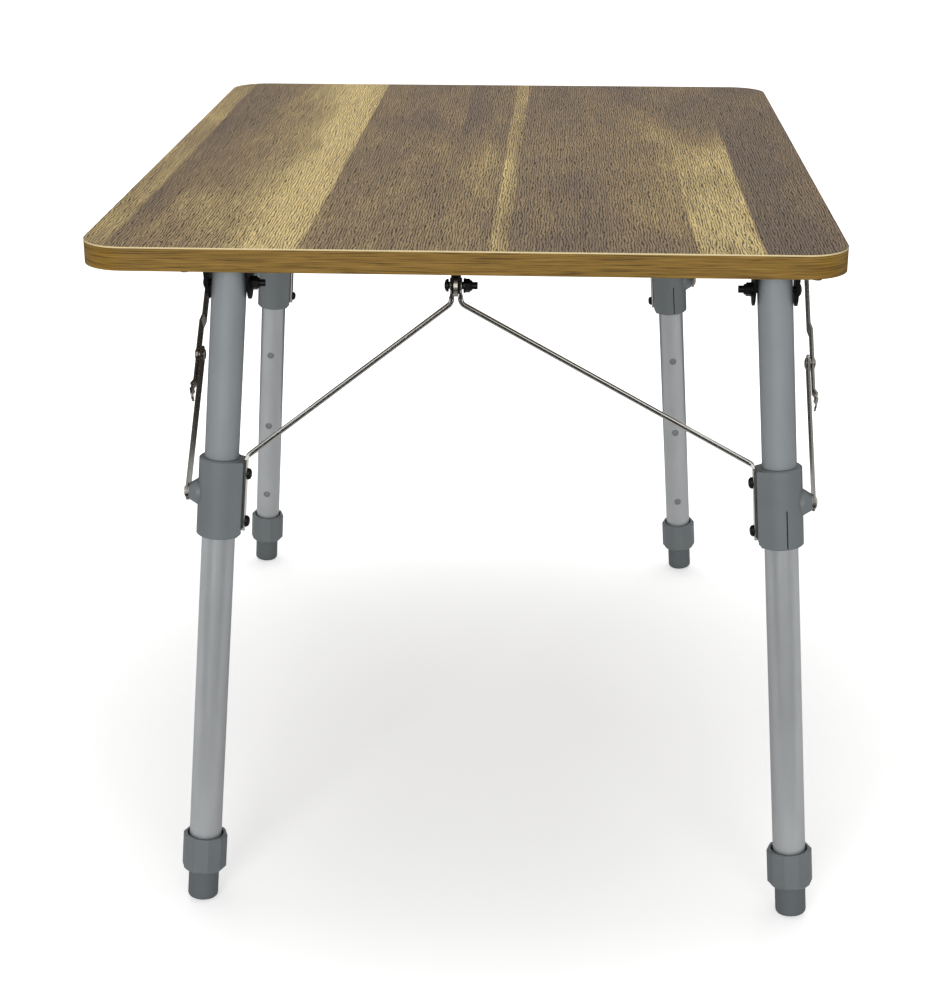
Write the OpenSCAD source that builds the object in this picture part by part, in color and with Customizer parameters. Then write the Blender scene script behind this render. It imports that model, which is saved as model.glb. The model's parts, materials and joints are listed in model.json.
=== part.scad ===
// Folding camping table with a decor board top on two hinged pairs of telescopic legs.
// Each pair is a rigid frame: two tubes, two moulded sleeves and two wire braces that share
// one fold axis under the board. A folding stay on each leg locks the pair upright.
// The rear half is the front half turned half a turn about the vertical centre line, so the
// folded pairs lie side by side. Millimetres, Z up, origin on the floor under the centre.

/* [Tabletop] */
// Length of the tabletop along Y
top_length = 800; // [700:5:1000]
// Width of the tabletop along X
top_width = 600; // [560:5:700]
// Height of the top surface above the floor
top_height = 588.5; // [560:0.5:640]
// Thickness of the whole tabletop
top_thickness = 19.2; // [16:0.1:25]
// Thickness of the decor laminate, whose pale edge shows above the band
laminate_thickness = 1.2; // [0.6:0.1:2]
// Thickness of the edge band
band_thickness = 1.6; // [1:0.1:3]
// Radius of the tabletop's corners
corner_radius = 36; // [25:1:60]

/* [Leg frame] */
// Sideways shift of a leg pair from the centre line, so that folded pairs pass each other
pair_shift = 28.9; // [24:0.1:34]
// Distance from the end of the board to the fold axis
pivot_inset = 55.5; // [50:0.5:70]
// Depth of the fold axis below the board
pivot_depth = 22.5; // [20.5:0.1:26]
// Distance from the side of the board to the nearer leg's axis at the fold axis
leg_inset = 52.75; // [50:0.25:60]
// Lean of the legs towards the ends of the table
end_splay = 4.54; // [2:0.01:8]
// Lean of the legs towards the sides of the table
side_splay = 4.18; // [2:0.01:6]

/* [Tubes] */
// Outside diameter of the upper leg tube
upper_tube_d = 28.4; // [26:0.1:30]
// Outside diameter of the lower leg tube
lower_tube_d = 27.8; // [26:0.1:30]
// Wall of the leg tubes
tube_wall = 1.2; // [0.8:0.1:2]
// Length of tube above the fold axis
tube_head = 12; // [9:0.5:12]
// Diameter of the height holes in the lower tube
height_hole_d = 8; // [6:0.5:9]
// Height of the lowest hole above the floor, along the leg
height_hole_first = 95; // [85:1:110]
// Distance between the height holes
height_hole_pitch = 91.5; // [70:0.5:95]
// Number of height holes
height_hole_count = 3; // [2:1:3]
// Overlap of the inner leg above the highest hole
inner_overlap = 34; // [20:1:45]

/* [Sleeves] */
// Height of the sleeve's lower end above the floor, along the leg
sleeve_bottom = 337.2; // [325:0.1:345]
// Length of the sleeve
sleeve_length = 67.3; // [62:0.1:75]
// Outside diameter of the sleeve
sleeve_d = 37; // [36:0.1:38]
// Distance of the brace pad's face from the tube's axis
pad_reach = 19.4; // [19:0.1:20.5]
// Width of the brace pad
pad_width = 21; // [18:0.5:24]
// Length of the bevel at the pad's lower end
pad_bevel = 6; // [3:0.5:8]
// Depth of that bevel
pad_bevel_depth = 2.4; // [1.5:0.1:3]
// Chamfer at the sleeve's ends
sleeve_chamfer = 1.2; // [0.6:0.1:1.5]
// Width of the sleeve's slit
slit_width = 1.2; // [0.8:0.1:2]
// Direction of the slit, from outwards towards the end of the table
slit_turn = 79; // [60:1:90]
// Distance of the stay boss above the sleeve's lower end
boss_rise = 36.8; // [30:0.1:42]
// Distance of the boss face from the tube's axis
boss_reach = 25.5; // [24:0.1:27]
// Diameter at the foot of the boss
boss_base_d = 22.5; // [20:0.5:26]
// Diameter at the face of the boss
boss_face_d = 14; // [12:0.5:16]
// Depth of the stay rivet in the boss
rivet_depth = 8.5; // [6:0.5:9]

/* [Feet] */
// Height of the locking collar's lower end above the floor, along the leg
collar_bottom = 28; // [24:0.5:32]
// Length of the locking collar
collar_length = 34.4; // [30:0.1:40]
// Width of the collar across its flats
collar_width = 36.8; // [35:0.1:38]
// Number of flats on the collar
collar_flats = 10; // [8:1:12]
// Bore of the collar
collar_bore = 31.6; // [31:0.1:32]
// Thickness of the collar's lower wall
collar_floor = 4; // [3:0.5:5]
// Bevel at the collar's lower end
collar_bevel = 3.5; // [2:0.5:5]
// Bevel at the collar's rim
rim_bevel = 1.5; // [1:0.1:2]
// Length of the clamping ring inside the collar
collet_length = 12; // [8:1:20]
// Width of the ring's slit
collet_slit = 1.5; // [1:0.1:2]
// Diameter of the foot cap
foot_d = 26.3; // [26:0.1:28]
// Radius of the foot's slightly domed sole
sole_radius = 40; // [30:1:60]
// Rounding between the sole and the side of the foot
foot_rounding = 3; // [1.5:0.5:5]
// Length of the plug inside the inner leg
plug_length = 20; // [12:1:30]

/* [Braces] */
// Distance of the brace bracket from the centre line, away from the pair's shift
anchor_shift = 6.5; // [3:0.5:10]
// Diameter of the brace wire
wire_d = 4.6; // [4:0.1:5]
// Thickness of the flattened strip on the sleeve
strip_thickness = 2.6; // [2:0.1:3]
// Width of the flattened strip
strip_width = 11; // [10:0.5:12]
// Thickness of the flattened eye at the bracket
eye_thickness = 2.3; // [1.8:0.1:3]
// Diameter of the flattened eye
eye_d = 13; // [12:0.5:14]
// Inside radius of the bends in the wire
wire_bend = 6; // [4:0.5:8]
// Height of the wire's upper bend below the eye's centre
wire_drop = 14.5; // [13:0.5:18]
// Height of the wire's lower bend above the sleeve
wire_rise = 5.5; // [5:0.5:9]
// Distance of the two strip screws from the middle of the sleeve
strip_screw_offset = 20.5; // [17:0.5:23]

/* [Stays] */
// Distance from the fold axis to the stay's pivot under the board
stay_setback = 175.3; // [172:0.1:178]
// Height of that pivot above the fold axis
stay_rise = 5; // [4:0.1:6]
// Thickness of the stay links
link_thickness = 1.8; // [1.5:0.1:2]
// Width of the stay links
link_width = 15; // [13:0.5:15.5]
// Distance from the knee at which the upper link steps outwards
joggle_distance = 30; // [26:1:40]
// Length of the upper link beyond the knee
tail_length = 45.5; // [42:0.5:50]
// Width of the upper link's tail
tail_width = 11; // [9:0.5:13]
// Height of the lugs pressed out of the tail
lug_height = 2.4; // [2:0.1:4]
// Distance between the two lugs
lug_pitch = 5; // [4:0.5:7]
// Length of the slope at the joggle
joggle_slope = 6; // [4:0.5:9]
// Diameter of the stay rivets' shanks
rivet_d = 6; // [5:0.1:7]
// Diameter of the stay rivets' heads
rivet_head_d = 10; // [9:0.1:10.5]

/* [Brackets] */
// Sheet thickness of the brackets
bracket_sheet = 2; // [1.5:0.1:2.5]
// Thickness of the brackets' plates against the board
bracket_base = 3; // [2:0.1:3]
// Half the gap between a leg bracket's cheeks
cheek_gap = 15.8; // [15.6:0.1:17]
// Length of a leg bracket's base plate
base_length = 76; // [70:1:90]
// Width of a leg bracket's cheeks where they meet the base
cheek_width = 40; // [34:1:46]
// Radius of a leg bracket's cheeks round the fold axis
cheek_radius = 13; // [11:0.5:14]
// Gap between the brace bracket's cheeks, filled by the spacer
spacer_thickness = 3.1; // [2.5:0.1:4]
// Diameter of the spacer
spacer_d = 18; // [16:0.5:22]
// Radius of the brace bracket's cheeks round the bolt
anchor_radius = 7; // [6.5:0.1:8]
// Width of the brace bracket's base
anchor_base_width = 18; // [16:1:24]
// Length of the brace bracket's base
anchor_base_length = 50; // [46:1:60]
// Width of the stay bracket's flange
flange_width = 19; // [17:0.5:24]
// Length of the stay bracket's flange
flange_length = 32; // [30:1:40]
// Distance of the screws from the ends of the long base plates
screw_margin = 6.5; // [6:0.5:8]
// Distance of the stay bracket's screws from its middle
stay_screw_offset = 10; // [8:0.5:11]

/* [Fasteners] */
// Diameter of the fold axis bolts
bolt_d = 6; // [5:0.1:7]
// Diameter of the bolt heads
bolt_head_d = 10.4; // [9:0.1:12]
// Height of the bolt heads
bolt_head_h = 3.2; // [2:0.1:4]
// Width of the lock nuts across their flats
nut_width = 10; // [9:0.1:11]
// Height of the lock nuts
nut_height = 7; // [5:0.1:8]
// Length of thread beyond the nut
thread_end = 4.2; // [2:0.1:6]
// Diameter of the wood screws
screw_d = 4; // [3:0.1:5]
// Depth of the wood screws in the board
screw_depth = 11; // [8:0.5:13]
// Diameter of the wood screws' heads
screw_head_d = 7.6; // [6.5:0.1:9]
// Height of the wood screws' heads
screw_head_h = 2.2; // [1.5:0.1:2.5]
// Diameter of the strip screws' domed heads
dome_head_d = 9.6; // [8:0.1:10.5]
// Height of the strip screws' domed heads
dome_head_h = 3.6; // [2:0.1:4.5]
// Length of the strip screws in the sleeve
strip_screw_grip = 4; // [3:0.1:4.4]
// Diameter of the rubber bumpers
bumper_d = 9; // [7:0.5:12]
// Height of the rubber bumpers
bumper_h = 3.5; // [2:0.1:5]
// Distance of the bumpers from the end of the board
bumper_inset = 15; // [12:0.5:20]
// Sideways distance of the bumpers from the leg's axis at the fold axis
bumper_offset = 27.6; // [24:0.1:30]

/* [Clearances] */
// Radial clearance of a running fit
run = 0.08; // [0.02:0.01:0.1]
// Radial clearance of pieces fixed in each other
fix = 0.05; // [0.02:0.01:0.1]
// Gap between faces of pieces that move past each other
face_gap = 0.3; // [0.2:0.05:0.35]
// Gap between stay links and what holds them
seat_gap = 0.2; // [0.1:0.05:0.3]

/* [Output] */
// Node to draw
// Facets of a full circle on tubes and large rounds
large_fn = 24; // [16:2:64]
// Facets of a full circle on bolts and small rounds
small_fn = 14; // [14:2:32]

/* [Hidden] */

front = 0;
rear = 180;
wood = [0.45, 0.34, 0.22];
black = [0.08, 0.08, 0.09];
grey = [0.47, 0.49, 0.49];
silver = [0.66, 0.68, 0.7];
steel = [0.78, 0.77, 0.74];

// Main lines of the frame
underside = top_height - top_thickness;
pivot_z = underside - pivot_depth;
pivot_y = top_length / 2 - pivot_inset;
leg_spread = top_width / 2 - leg_inset - pair_shift;
leg_length = pivot_z / (cos(side_splay) * cos(end_splay));
leg_tilt = acos(cos(side_splay) * cos(end_splay));

// Telescope
lower_bore = lower_tube_d / 2 - tube_wall;
inner_r = lower_bore - run;
inner_bore = inner_r - tube_wall;
sleeve_middle = sleeve_bottom + sleeve_length / 2;
lower_tube_bottom = collar_bottom + collar_floor + 1;
inner_bottom = collar_bottom - face_gap;
inner_top = height_hole_first + height_hole_pitch * (height_hole_count - 1) + inner_overlap;

// Stay geometry in the plane across the fold axis, from the fold axis
boss_s = sleeve_bottom + boss_rise;
boss_drop = (leg_length - boss_s) * cos(side_splay);
boss_at = [-boss_drop * sin(end_splay), -boss_drop * cos(end_splay)];
stay_at = [stay_setback, stay_rise];
stay_span = norm(stay_at - boss_at);
link_length = stay_span / 2;
link_angle = atan2(stay_at[1] - boss_at[1], stay_at[0] - boss_at[0]);
boss_x = leg_spread + (leg_length - boss_s) * sin(side_splay) + boss_reach;
washer_h = link_thickness / 3;
lower_link_x = boss_x + washer_h + seat_gap;
upper_link_x = lower_link_x + link_thickness + face_gap;
stay_cheek_x = upper_link_x + link_thickness + seat_gap;
rivet_head_h = link_thickness;

// Brace geometry in the plane of the frame, from the middle of the pair
anchor_x = -pair_shift - anchor_shift;
eye_x = spacer_thickness / 2 + bracket_sheet + 0.1 + eye_thickness / 2;
strip_top = sleeve_bottom + sleeve_length;
strip_bottom = sleeve_middle - strip_screw_offset - strip_width / 2 - 3;

// Turned profiles and plates

module plate_x(x, thickness) {
    translate([x, 0, 0])
        rotate([90, 0, 90])
            linear_extrude(thickness)
                children();
}

module rod_x(x, length, d, fn = small_fn) {
    translate([x, 0, 0])
        rotate([0, 90, 0])
            cylinder(h = length, d = d, $fn = fn);
}

module dome_x(x, height, d) {
    translate([x, 0, 0])
        rotate([0, 90, 0]) {
            cylinder(h = height * 0.45, d = d, $fn = small_fn + 2);
            translate([0, 0, height * 0.45])
                cylinder(h = height * 0.35, d1 = d, d2 = d * 0.8, $fn = small_fn + 2);
            translate([0, 0, height * 0.8])
                cylinder(h = height * 0.2, d1 = d * 0.8, d2 = d * 0.45, $fn = small_fn + 2);
        }
}

module tube(bottom, top, r, bore) {
    translate([0, 0, bottom])
        difference() {
            cylinder(h = top - bottom, r = r, $fn = large_fn);
            translate([0, 0, -1])
                cylinder(h = top - bottom + 2, r = bore, $fn = large_fn);
        }
}

module board_outline(inset = 0) {
    r = corner_radius - inset;
    x = top_width / 2 - corner_radius;
    y = top_length / 2 - corner_radius;
    hull()
        for (i = [-1, 1], j = [-1, 1])
            translate([i * x, j * y])
                circle(r = r, $fn = 48);
}

// Places: the pair's fold axis, its leaning frame, and a leg from the floor up its axis

module at_pair(end) {
    rotate([0, 0, end])
        translate([pair_shift, -pivot_y, pivot_z])
            children();
}

module at_frame(end) {
    at_pair(end)
        rotate([-end_splay, 0, 0])
            children();
}

module at_leg(end, side) {
    at_frame(end)
        translate([side * leg_spread, 0, 0])
            rotate([0, -side * side_splay, 0])
                translate([0, 0, -leg_length])
                    children();
}

// The sleeve is one moulding: on the other leg it is turned half a turn about the tube
module at_sleeve(end, side) {
    at_leg(end, side)
        rotate([0, 0, side > 0 ? 0 : 180])
            children();
}

// Square to the frame at a height on the leg, with +X pointing out of the table
module square_on_leg(s) {
    translate([0, 0, s])
        rotate([0, side_splay, 0])
            children();
}

module on_side(end, side) {
    at_pair(end)
        mirror([side > 0 ? 0 : 1, 0, 0])
            children();
}

// Wood screw places: [x, y] on the underside, from the fold axis of a pair
function leg_screws(side) = [
    for (j = [-1, 1]) [side * leg_spread, j * (base_length / 2 - screw_margin)]
];
function anchor_screws() = [
    for (j = [-1, 1]) [anchor_x, j * (anchor_base_length / 2 - screw_margin - 1.5)]
];
function stay_screws(side) = [
    for (j = [-1, 1])
        [side * (stay_cheek_x + bracket_sheet - flange_width * 0.6), stay_setback + j * stay_screw_offset]
];
function pair_screws() = concat(
    leg_screws(-1), leg_screws(1), anchor_screws(), stay_screws(-1), stay_screws(1)
);

module wood_screw() {
    translate([0, 0, -bracket_base - screw_head_h])
        cylinder(h = screw_head_h, d1 = screw_head_d * 0.7, d2 = screw_head_d, $fn = small_fn);
    translate([0, 0, -bracket_base - 0.01])
        cylinder(h = bracket_base + screw_depth, d = screw_d, $fn = small_fn);
}

module screw_hole(depth) {
    translate([0, 0, -bracket_base - 1])
        cylinder(h = bracket_base + 1 + depth, d = screw_d + 2 * fix, $fn = small_fn);
}

module at_screws(end, places) {
    at_pair(end)
        for (p = places)
            translate([p[0], p[1], pivot_depth])
                children();
}

// Tabletop

module tabletop_board() {
    color(wood)
        difference() {
            translate([0, 0, underside])
                linear_extrude(top_thickness - laminate_thickness)
                    board_outline(band_thickness);
            for (end = [front, rear])
                at_screws(end, pair_screws())
                    screw_hole(screw_depth + 1);
        }
}

module top_laminate() {
    color([0.42, 0.33, 0.25])
        translate([0, 0, top_height - laminate_thickness])
            linear_extrude(laminate_thickness)
                board_outline();
}

module edge_band() {
    color([0.55, 0.42, 0.21])
        translate([0, 0, underside])
            linear_extrude(top_thickness - laminate_thickness)
                difference() {
                    board_outline();
                    board_outline(band_thickness);
                }
}

module rubber_bumpers() {
    color(black)
        for (end = [front, rear], side = [-1, 1])
            at_pair(end)
                translate([side * (leg_spread + bumper_offset), bumper_inset - pivot_inset, pivot_depth - bumper_h])
                    cylinder(h = bumper_h, d1 = bumper_d - 2, d2 = bumper_d, $fn = large_fn);
}

// Leg bracket: a pressed channel with two rounded cheeks and a long base plate
module leg_bracket(end, side) {
    outer = cheek_gap + bracket_sheet;
    color(black)
        at_pair(end)
            translate([side * leg_spread, 0, 0])
                difference() {
                    union() {
                        translate([-outer, -base_length / 2, pivot_depth - bracket_base])
                            cube([2 * outer, base_length, bracket_base]);
                        for (i = [-1, 1])
                            plate_x(i > 0 ? cheek_gap : -outer, bracket_sheet)
                                hull() {
                                    circle(r = cheek_radius, $fn = large_fn);
                                    translate([-cheek_width / 2, pivot_depth - bracket_base])
                                        square([cheek_width, bracket_base]);
                                }
                    }
                    rod_x(-outer - 1, 2 * outer + 2, bolt_d + 2 * fix);
                    for (p = leg_screws(0))
                        translate([0, p[1], pivot_depth])
                            screw_hole(1);
                }
}

// Brace bracket: two small cheeks either side of the spacer
module brace_bracket(end) {
    outer = spacer_thickness / 2 + bracket_sheet;
    color(black)
        at_pair(end)
            translate([anchor_x, 0, 0])
                difference() {
                    union() {
                        translate([-anchor_base_width / 2, -anchor_base_length / 2,
                                   pivot_depth - bracket_base])
                            cube([anchor_base_width, anchor_base_length, bracket_base]);
                        for (i = [-1, 1])
                            plate_x(i > 0 ? spacer_thickness / 2 : -outer, bracket_sheet)
                                hull() {
                                    circle(r = anchor_radius, $fn = large_fn);
                                    translate([-anchor_base_width / 2, pivot_depth - bracket_base])
                                        square([anchor_base_width, bracket_base]);
                                }
                    }
                    rod_x(-outer - 1, 2 * outer + 2, bolt_d + 2 * fix);
                    for (p = anchor_screws())
                        translate([0, p[1], pivot_depth])
                            screw_hole(1);
                }
}

module brace_spacers() {
    color([0.9, 0.9, 0.88])
        for (end = [front, rear])
            at_pair(end)
                translate([anchor_x, 0, 0])
                    difference() {
                        rod_x(-spacer_thickness / 2, spacer_thickness, spacer_d, large_fn);
                        rod_x(-spacer_thickness, 2 * spacer_thickness, bolt_d + 2 * fix);
                    }
}

// Stay bracket: a bent angle with the pivot rivet staked in its cheek
module stay_bracket(end, side) {
    color(black)
        on_side(end, side) {
            difference() {
                union() {
                    translate([stay_cheek_x + bracket_sheet - flange_width,
                               stay_setback - flange_length / 2, pivot_depth - bracket_base])
                        cube([flange_width, flange_length, bracket_base]);
                    plate_x(stay_cheek_x, bracket_sheet)
                        hull() {
                            translate(stay_at)
                                circle(d = link_width, $fn = large_fn);
                            translate([stay_setback - flange_length / 2, pivot_depth - bracket_base])
                                square([flange_length, bracket_base]);
                        }
                }
                for (p = stay_screws(1))
                    translate([p[0], p[1], pivot_depth])
                        screw_hole(1);
            }
            translate([0, stay_at[0], stay_at[1]]) {
                rod_x(upper_link_x - seat_gap - rivet_head_h / 3,
                      stay_cheek_x + bracket_sheet - upper_link_x + seat_gap + rivet_head_h * 2 / 3, rivet_d);
                dome_x(stay_cheek_x + bracket_sheet, rivet_head_h, rivet_head_d);
                translate([upper_link_x - seat_gap, 0, 0])
                    mirror([1, 0, 0])
                        dome_x(0, rivet_head_h, rivet_head_d - 1.5);
            }
        }
}

// Fold axis bolts: their heads are outside the cheeks, their nuts inside
module pivot_bolts() {
    leg_outer = cheek_gap + bracket_sheet;
    eye_outer = eye_x + eye_thickness / 2 + 0.1;
    color(black)
        for (end = [front, rear])
            at_pair(end) {
                for (side = [-1, 1])
                    translate([side * leg_spread, 0, 0])
                        mirror([side > 0 ? 0 : 1, 0, 0]) {
                            rod_x(-leg_outer - nut_height - thread_end,
                                  2 * leg_outer + nut_height + thread_end + bolt_head_h / 3, bolt_d);
                            dome_x(leg_outer, bolt_head_h, bolt_head_d);
                        }
                translate([anchor_x, 0, 0]) {
                    rod_x(-eye_outer - bolt_head_h / 3,
                          2 * eye_outer + nut_height + thread_end + bolt_head_h / 3, bolt_d);
                    mirror([1, 0, 0])
                        dome_x(eye_outer, bolt_head_h, bolt_head_d);
                }
            }
}

module lock_nut(x) {
    translate([x, 0, 0])
        rotate([0, 90, 0])
            difference() {
                union() {
                    cylinder(h = nut_height * 0.2, d = nut_width * 1.2, $fn = large_fn);
                    cylinder(h = nut_height * 0.72, d = nut_width / cos(30), $fn = 6);
                    cylinder(h = nut_height * 0.75, d = nut_width * 0.95, $fn = large_fn);
                    translate([0, 0, nut_height * 0.75])
                        cylinder(h = nut_height * 0.25, d1 = nut_width * 0.95, d2 = nut_width * 0.78,
                                 $fn = large_fn);
                }
                translate([0, 0, -1])
                    cylinder(h = nut_height + 2, d = bolt_d + 2 * fix, $fn = small_fn);
            }
}

module lock_nuts() {
    color(black)
        for (end = [front, rear])
            at_pair(end) {
                for (side = [-1, 1])
                    translate([side * leg_spread, 0, 0])
                        mirror([side > 0 ? 1 : 0, 0, 0])
                            lock_nut(cheek_gap + bracket_sheet);
                translate([anchor_x, 0, 0])
                    lock_nut(eye_x + eye_thickness / 2 + 0.1);
            }
}

module wood_screws() {
    color(steel)
        for (end = [front, rear])
            at_screws(end, pair_screws())
                wood_screw();
}

// Legs

module upper_tube(end, side) {
    color([0.56, 0.58, 0.59])
        at_leg(end, side)
            difference() {
                tube(sleeve_middle + 0.5, leg_length + tube_head,
                     upper_tube_d / 2, upper_tube_d / 2 - tube_wall);
                translate([0, 0, leg_length])
                    rotate([0, side * side_splay, 0])
                        rod_x(-upper_tube_d, 2 * upper_tube_d, bolt_d + 2 * run, large_fn);
            }
}

module lower_tube(end, side) {
    color(silver)
        at_leg(end, side)
            difference() {
                tube(lower_tube_bottom, sleeve_middle - 0.5, lower_tube_d / 2, lower_bore);
                for (i = [0 : height_hole_count - 1])
                    translate([0, 0, height_hole_first + i * height_hole_pitch])
                        rotate([-90, 0, 0])
                            cylinder(h = lower_tube_d, d = height_hole_d, $fn = small_fn + 2);
            }
}

// Sleeve: grips both tubes, with a flat pad for the brace and a conical boss for the stay
module sleeve_round() {
    rim_d = sleeve_d - 2 * sleeve_chamfer;
    translate([0, 0, sleeve_bottom]) {
        cylinder(h = sleeve_chamfer, d1 = rim_d, d2 = sleeve_d, $fn = large_fn);
        translate([0, 0, sleeve_chamfer])
            cylinder(h = sleeve_length - 2 * sleeve_chamfer, d = sleeve_d, $fn = large_fn);
        translate([0, 0, sleeve_length - sleeve_chamfer])
            cylinder(h = sleeve_chamfer, d1 = sleeve_d, d2 = rim_d, $fn = large_fn);
    }
}

// Pad: flats run from its face to where they touch the round, and its ends are bevelled
module sleeve_pad() {
    corner = [-pad_reach, pad_width / 2];
    touch = 180 - atan2(corner[1], -corner[0]) - acos(sleeve_d / 2 / norm(corner));
    tangent = sleeve_d / 2 * [cos(touch), sin(touch)];
    intersection() {
        translate([0, 0, sleeve_bottom])
            linear_extrude(sleeve_length)
                polygon([
                    tangent, corner, [corner[0], -corner[1]], [tangent[0], -tangent[1]]
                ]);
        translate([0, sleeve_d / 2, sleeve_bottom])
            rotate([90, 0, 0])
                linear_extrude(sleeve_d)
                    polygon([
                        [0, sleeve_chamfer], [-pad_reach + pad_bevel_depth, sleeve_chamfer],
                        [-pad_reach, pad_bevel], [-pad_reach, sleeve_length - 2 * sleeve_chamfer],
                        [-pad_reach + sleeve_chamfer, sleeve_length - sleeve_chamfer],
                        [0, sleeve_length - sleeve_chamfer]
                    ]);
    }
}

module sleeve_boss() {
    root = sleeve_d / 2;
    square_on_leg(boss_s)
        rotate([0, 90, 0]) {
            translate([0, 0, root - sleeve_chamfer * 3])
                cylinder(h = sleeve_chamfer * 3, d = boss_base_d, $fn = large_fn);
            translate([0, 0, root])
                cylinder(h = boss_reach - root, d1 = boss_base_d, d2 = boss_face_d, $fn = large_fn);
        }
}

module sleeve_body() {
    difference() {
        union() {
            sleeve_round();
            sleeve_pad();
            sleeve_boss();
        }
        translate([0, 0, sleeve_bottom - 1])
            cylinder(h = sleeve_length / 2 + 1, d = lower_tube_d + 2 * fix, $fn = large_fn);
        translate([0, 0, sleeve_middle - 0.01])
            cylinder(h = sleeve_length / 2 + 1, d = upper_tube_d + 2 * fix, $fn = large_fn);
        rotate([0, 0, -slit_turn])
            translate([0, -slit_width / 2, sleeve_bottom - 1])
                cube([sleeve_d, slit_width, sleeve_length / 2 + 1]);
        square_on_leg(boss_s)
            rod_x(boss_reach - rivet_depth - fix, rivet_depth + 1, rivet_d + 2 * fix);
        for (i = [-1, 1])
            translate([0, 0, sleeve_middle + i * strip_screw_offset])
                rod_x(-pad_reach - 1, strip_screw_grip + 1 + fix, screw_d + 2 * fix);
    }
}

module sleeve(end, side) {
    color(grey)
        at_sleeve(end, side)
            sleeve_body();
}

// Wire brace: flat eye, bent wire and a flattened strip on the sleeve's pad

function leg_point(s, offset) = [
    leg_spread + (leg_length - s) * sin(side_splay) - offset * cos(side_splay),
    -(leg_length - s) * cos(side_splay) - offset * sin(side_splay)
];
function heading(a, b) = atan2(b[1] - a[1], b[0] - a[0]);
function trim(turn) = (wire_bend + wire_d / 2) * tan(abs(turn) / 2);
function along(a, b, d) = a + (b - a) * d / norm(b - a);

// Points of a bend at b as [x, z, heading]
function bend(a, b, c, steps = 4) =
    let (
        from = heading(a, b),
        turn = heading(b, c) - from,
        r = (wire_bend + wire_d / 2) * sign(turn),
        start = along(b, a, trim(turn)),
        centre = start + r * [-sin(from), cos(from)]
    )
    [for (i = [0 : steps]) let (t = from + turn * i / steps)
        [centre[0] + r * sin(t), centre[1] - r * cos(t), t]];

module wire(line) {
    n = small_fn;
    last = len(line) - 1;
    polyhedron(
        points = [for (p = line, j = [0 : n - 1]) let (a = 360 * j / n, r = wire_d / 2)
            [p[0] - r * cos(a) * sin(p[2]), r * sin(a), p[1] + r * cos(a) * cos(p[2])]],
        faces = concat(
            [[for (j = [n - 1 : -1 : 0]) j]],
            [for (i = [0 : last - 1], j = [0 : n - 1])
                [i * n + j, i * n + (j + 1) % n, (i + 1) * n + (j + 1) % n, (i + 1) * n + j]],
            [[for (j = [0 : n - 1]) last * n + j]]
        )
    );
}

module wire_brace(end, side) {
    mid = side * anchor_x;
    eye = [mid + eye_x, 0];
    drop = [mid + eye_x, -wire_drop];
    strip_centre = pad_reach + strip_thickness / 2;
    knee = leg_point(strip_top + wire_rise, strip_centre);
    low = leg_point(strip_bottom, strip_centre);
    start = -anchor_radius - 1.3;
    color(steel)
        at_frame(end)
            mirror([side > 0 ? 0 : 1, 0, 0])
                difference() {
                    union() {
                        plate_x(eye[0] - eye_thickness / 2, eye_thickness) {
                            circle(d = eye_d, $fn = large_fn);
                            translate([-eye_d / 4, start - 3])
                                square([eye_d / 2, -start + 3]);
                        }
                        wire(concat([[eye[0], start, -90]], bend(eye, drop, knee), bend(drop, knee, low)));
                        translate([leg_spread, 0, 0])
                            rotate([0, -side_splay, 0])
                                translate([-pad_reach - strip_thickness, 0, -leg_length])
                                    rotate([90, 0, 90])
                                        linear_extrude(strip_thickness)
                                            hull() {
                                                translate([0, strip_bottom + strip_width / 2])
                                                    circle(d = strip_width, $fn = large_fn);
                                                translate([0, strip_top - strip_width / 2])
                                                    circle(d = strip_width, $fn = large_fn);
                                                translate([0, strip_top + wire_rise - 3])
                                                    circle(d = wire_d, $fn = small_fn);
                                            }
                    }
                    rod_x(eye[0] - eye_thickness, 2 * eye_thickness, bolt_d + 2 * run, large_fn);
                    translate([leg_spread, 0, 0])
                        rotate([0, -side_splay, 0])
                            for (i = [-1, 1])
                                translate([0, 0, sleeve_middle + i * strip_screw_offset - leg_length])
                                    rod_x(-pad_reach - strip_thickness - 1, strip_thickness + 1.5,
                                          screw_d + 2 * fix);
                }
}

module strip_screws(end) {
    color(black)
        for (side = [-1, 1])
            at_sleeve(end, side)
                for (i = [-1, 1])
                    translate([-pad_reach - strip_thickness, 0, sleeve_middle + i * strip_screw_offset])
                        mirror([1, 0, 0]) {
                            dome_x(0, dome_head_h, dome_head_d);
                            mirror([1, 0, 0])
                                rod_x(-dome_head_h / 3,
                                      strip_thickness + strip_screw_grip + dome_head_h / 3, screw_d);
                        }
}

// Rivets that carry the lower links on the bosses, each with its washer
module stay_rivets(end) {
    color(steel)
        for (side = [-1, 1])
            at_sleeve(end, side)
                square_on_leg(boss_s) {
                    rod_x(boss_reach - rivet_depth,
                          rivet_depth + washer_h + link_thickness + 2 * seat_gap + rivet_head_h / 3, rivet_d);
                    rod_x(boss_reach, washer_h, boss_face_d - 1, large_fn);
                    dome_x(boss_reach + washer_h + link_thickness + 2 * seat_gap, rivet_head_h,
                           rivet_head_d);
                }
}

// Stays

module stay_lower_link(end, side) {
    color(steel)
        on_side(end, side)
            translate([0, boss_at[0], boss_at[1]])
                rotate([link_angle, 0, 0]) {
                    difference() {
                        plate_x(lower_link_x, link_thickness)
                            hull() {
                                circle(d = link_width, $fn = large_fn);
                                translate([link_length, 0])
                                    circle(d = link_width, $fn = large_fn);
                            }
                        rod_x(lower_link_x - 1, link_thickness + 2, rivet_d + 2 * run, large_fn);
                    }
                    translate([lower_link_x, link_length, 0])
                        mirror([1, 0, 0]) {
                            dome_x(0, rivet_head_h, rivet_head_d);
                            rod_x(-link_thickness / 2, link_thickness, rivet_d);
                        }
                }
}

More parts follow.
